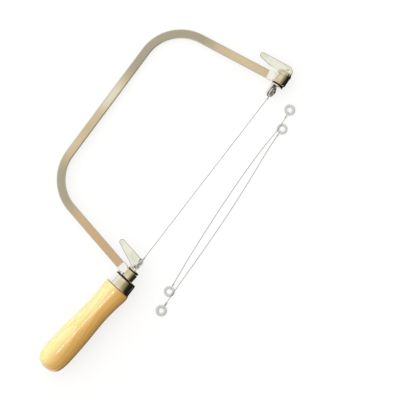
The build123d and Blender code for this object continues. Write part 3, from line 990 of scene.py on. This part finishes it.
class SOAPCUTTER_OT_fittings(bpy.types.Operator):
    """Plates the eyes, pins, levers and the small turned pieces"""

    bl_idname = "soapcutter.fittings"
    bl_label = "Fittings"

    def execute(self, context):
        colours = context.scene.soap_cutter_colours
        # Widths of the clouds and of the grit, and the roughness of the pale and the dark tone
        turned_surface = (9 * MM, 0.4 * MM, 0.14, 0.26)
        stamped_surface = (11 * MM, 0.35 * MM, 0.18, 0.30)
        plain_surface = (5 * MM, 0.3 * MM, 0.30, 0.42)
        bright_tones = (colours.nickel_dull, colours.nickel)
        bright = plated("bright_nickel_on_turned_steel", *bright_tones, *turned_surface)
        pale = plated(
            "bright_nickel_on_pins", colours.pin_dull, colours.pin, 7 * MM, *turned_surface[1:]
        )
        stamped = plated(
            "nickel_on_stamped_steel",
            colours.lever_dull,
            colours.lever,
            *stamped_surface,
            edge=colours.lever_edge_reflection,
        )
        # The thrust washers are given a near-black tone
        plain, dark_washers = (
            plated(name, tone, tone, *plain_surface)
            for name, tone in (
                ("plain_turned_steel", colours.steel),
                ("near_black_thrust_washers", colours.washer_tone),
            )
        )
        # The eyes are painted near white on their side towards the bow: a painted highlight
        near_brazed, far_brazed = (
            plated(name, *bright_tones, *turned_surface, painted_highlight=(colours.painted_highlight, pin_seat, side))
            for name, pin_seat, side in (
                ("nickel_on_near_eye", near_seat, 1),
                ("nickel_on_far_eye", far_seat, -1),
            )
        )
        for finish, nodes in (
            (near_brazed, ("near_eye",)),
            (far_brazed, ("far_eye",)),
            (bright, ("far_cap", "handle_front_washer")),
            (pale, ("near_pin", "far_pin", "near_wire_button", "far_wire_button")),
            (stamped, ("near_lever", "near_lever_rivet", "far_lever", "far_lever_rivet")),
            (dark_washers, ("near_thrust_washer", "far_thrust_washer")),
            (plain, ("handle_nut",)),
        ):
            for node in nodes:
                frame["nodes"][node].material_slots[0].material = finish
        return {"FINISHED"}


def mirrored_or_seen(tree):
    """1 for what is seen straight, in a mirror or through glass, and 0 for light on matter."""
    rays = add_node(tree, "ShaderNodeLightPath").outputs
    glossy = arithmetic(tree, "MAXIMUM", {0: rays["Is Camera Ray"], 1: rays["Is Glossy Ray"]})
    return arithmetic(tree, "MAXIMUM", {0: glossy, 1: rays["Is Transmission Ray"]})


def pale_floor(colours):
    """A floor that is lifted to white where it is seen, and still takes shadows."""
    finish, tree = new_finish("pale_floor")
    lift = arithmetic(tree, "MULTIPLY", {0: mirrored_or_seen(tree)}, {1: 0.72})
    surface = add_node(
        tree,
        "ShaderNodeBsdfPrincipled",
        values={
            "Base Color": colours.floor,
            "Roughness": 0.9,
            "Specular IOR Level": 0.1,
            "Emission Color": (1.0, 1.0, 1.0, 1.0),
        },
        links={"Emission Strength": lift},
    )
    add_node(tree, "ShaderNodeOutputMaterial", links={"Surface": surface.outputs[0]})
    return finish


def wall_tones(tree, front_to_back, sideways):
    """What mirrors see round them: a dim olive wall in front, and pale walls behind and aside."""
    place = ranged(tree, front_to_back, -0.9, 0.1)
    wall = add_node(tree, "ShaderNodeValToRGB", links={0: place})
    stops = ((0.0, "#2A2920"), (0.30, "#958B6C"), (0.60, "#B5A987"), (0.84, "#FFFFFF"))
    for index, (position, hex_code) in enumerate(stops):
        if index > 1:
            wall.color_ramp.elements.new(position)
        wall.color_ramp.elements[index].position = position
        wall.color_ramp.elements[index].color = colour(hex_code)
    # Pale side walls keep flat pieces from looking dark when they are seen from a corner
    aside = arithmetic(tree, "ABSOLUTE", {0: sideways})
    share = ranged(tree, aside, 0.15, 0.38, 0.0, 0.85)
    return tinted(tree, wall.outputs[0], share, colour("#F2EFE6"))


def studio_world():
    """A sky that is brighter towards the back of the bow and dimmer in front."""
    world = bpy.data.worlds.new("studio")
    world.use_nodes = True
    tree = world.node_tree
    tree.nodes.clear()
    way = add_node(tree, "ShaderNodeTexCoord").outputs["Generated"]
    sideways, front_to_back, upwards = (axis_value(tree, way, axis) for axis in range(3))
    daylight = ranged(tree, front_to_back, -0.7, 0.9, 0.42, 1.70)
    # Mirrors see the walls, which are dimmer near the horizon than overhead
    mirrored = ranged(tree, upwards, 0.0, 0.45, 0.72, 1.0, smooth=True)
    rays = add_node(tree, "ShaderNodeLightPath").outputs
    in_mirrors = add_node(
        tree,
        "ShaderNodeMix",
        links={0: rays["Is Glossy Ray"], 2: daylight, 3: mirrored},
        data_type="FLOAT",
    ).outputs[0]
    straight = arithmetic(
        tree, "MAXIMUM", {0: rays["Is Camera Ray"], 1: rays["Is Transmission Ray"]}
    )
    strength = add_node(
        tree,
        "ShaderNodeMix",
        values={3: 1.0},
        links={0: straight, 2: in_mirrors},
        data_type="FLOAT",
    ).outputs[0]
    tint = add_node(
        tree,
        "ShaderNodeMix",
        values={6: (1.0, 1.0, 1.0, 1.0)},
        links={0: rays["Is Glossy Ray"], 7: wall_tones(tree, front_to_back, sideways)},
        data_type="RGBA",
    ).outputs[2]
    background = add_node(
        tree, "ShaderNodeBackground", links={"Color": tint, "Strength": strength}
    )
    add_node(tree, "ShaderNodeOutputWorld", links={"Surface": background.outputs[0]})
    return world


def black_cloth(solid_under, height):
    """Black cloth that is solid up to one height and thins out up to the other."""
    finish, tree = new_finish("black_cloth")
    level = axis_value(tree, add_node(tree, "ShaderNodeTexCoord").outputs["Object"], 2)
    surface = add_node(
        tree,
        "ShaderNodeBsdfPrincipled",
        values={"Base Color": colour("#0A0A08"), "Roughness": 1.0},
        links={"Alpha": ranged(tree, level, solid_under, height, 1.0, 0.0, smooth=True)},
    )
    add_node(tree, "ShaderNodeOutputMaterial", links={"Surface": surface.outputs[0]})
    return finish


def add_glint(name, target, facing, away, size, power, camera):
    """A small lamp placed where a face at the target mirrors it into the camera."""
    to_camera = (camera.location - target).normalized()
    to_lamp = 2 * facing.dot(to_camera) * facing - to_camera
    lamp = bpy.data.lights.new(name, "AREA")
    lamp.shape = "RECTANGLE"
    lamp.size, lamp.size_y = size
    lamp.energy = power
    holder = bpy.data.objects.new(name, lamp)
    bpy.context.scene.collection.objects.link(holder)
    holder.visible_diffuse = False
    holder.location = target + to_lamp * away
    holder.rotation_euler = to_lamp.to_track_quat("Z", "Y").to_euler()


class SOAPCUTTER_OT_stage(bpy.types.Operator):
    """Sets out the floor, the lamps and the camera"""

    bl_idname = "soapcutter.stage"
    bl_label = "Stage"

    def execute(self, context):
        scene = context.scene
        floor = add_primitive(bpy.ops.mesh.primitive_plane_add, "floor", size=6.0)
        floor.data.transform(Matrix.Translation((0, 0, -0.02 * MM)))
        dress(floor, pale_floor(scene.soap_cutter_colours))
        scene.world = studio_world()

        # A curtain in front of the cutter, and mats before the handle and the far end of the wire,
        # give the round pieces their dark sides; only mirrors see them
        curtain_solid, curtain_height = 0.02, 0.10
        on_floor = 0.1 * MM
        upright = Matrix.Rotation(math.radians(90), 4, "X")
        cloth_finish = black_cloth(curtain_solid, curtain_height)
        for name, centre, turn, width, depth in (
            ("dark_curtain", (0.0, -0.125, curtain_height / 2), upright, 0.9, curtain_height),
            ("near_mat", (-0.1165, -0.0905, on_floor), Matrix(), 0.117, 0.069),
            ("far_mat", (0.156, -0.0905, on_floor), Matrix(), 0.044, 0.069),
        ):
            cloth = add_primitive(bpy.ops.mesh.primitive_plane_add, name, size=1.0)
            stretch = Matrix.Diagonal((width, depth, 1.0, 1.0))
            cloth.data.transform(Matrix.Translation(centre) @ turn @ stretch)
            dress(cloth, cloth_finish)
            cloth.visible_camera = False
            cloth.visible_diffuse = False
            cloth.visible_transmission = False
            cloth.visible_shadow = False

        # The camera looks straight down and takes in 340 mm at the height of the wire
        height, wire_height, view_width, sensor = 1.6, 9 * MM, 0.34, 36.0
        camera = bpy.data.objects.new("camera", bpy.data.cameras.new("camera"))
        scene.collection.objects.link(camera)
        camera.location = Vector((0.0278, -0.0579, height))
        camera.rotation_euler = (0, 0, math.radians(-52.36))
        camera.data.sensor_width = sensor
        camera.data.lens = sensor * (height - wire_height) / view_width
        scene.camera = camera
        scene.view_settings.view_transform = "Standard"

        bow_back, grip_top = Vector((0.048, 0.0562, 0.006)), Vector((-0.118, -0.044, 0.025))
        add_glint("bow_glint", bow_back, bow_up, 0.12, (0.03, 0.03), 0.0012, camera)
        add_glint("grip_glint", grip_top, bow_up, 0.5, (0.22, 0.012), 0.25, camera)
        return {"FINISHED"}


class SOAPCUTTER_PT_panel(bpy.types.Panel):
    """Lists the pieces and their sizes and colours"""

    bl_label = "Soap Cutter"
    bl_idname = "SOAPCUTTER_PT_panel"
    bl_space_type = "VIEW_3D"
    bl_region_type = "UI"
    bl_category = "Soap Cutter"

    def draw(self, context):
        for group in (context.scene.soap_cutter_sizes, context.scene.soap_cutter_colours):
            for name in group.__annotations__:
                self.layout.prop(group, name)
        for operator in operators:
            self.layout.operator(operator.bl_idname)


operators = (
    SOAPCUTTER_OT_stage,
    SOAPCUTTER_OT_rings,
    SOAPCUTTER_OT_spare_wires,
    SOAPCUTTER_OT_cutting_wire,
    SOAPCUTTER_OT_bow,
    SOAPCUTTER_OT_grip,
    SOAPCUTTER_OT_ferrule,
    SOAPCUTTER_OT_fittings,
)
groups = (SoapCutterSizes, SoapCutterColours)


def register():
    for item in groups + operators + (SOAPCUTTER_PT_panel,):
        bpy.utils.register_class(item)
    bpy.types.Scene.soap_cutter_sizes = bpy.props.PointerProperty(type=SoapCutterSizes)
    bpy.types.Scene.soap_cutter_colours = bpy.props.PointerProperty(type=SoapCutterColours)


def unregister():
    del bpy.types.Scene.soap_cutter_colours
    del bpy.types.Scene.soap_cutter_sizes
    for item in reversed(groups + operators + (SOAPCUTTER_PT_panel,)):
        bpy.utils.unregister_class(item)


def main():
    register()
    bpy.ops.soapcutter.stage()
    bpy.ops.soapcutter.rings()
    bpy.ops.soapcutter.spare_wires()
    bpy.ops.soapcutter.cutting_wire()
    bpy.ops.soapcutter.bow()
    bpy.ops.soapcutter.grip()
    bpy.ops.soapcutter.ferrule()
    bpy.ops.soapcutter.fittings()


if __name__ == "__main__":
    main()
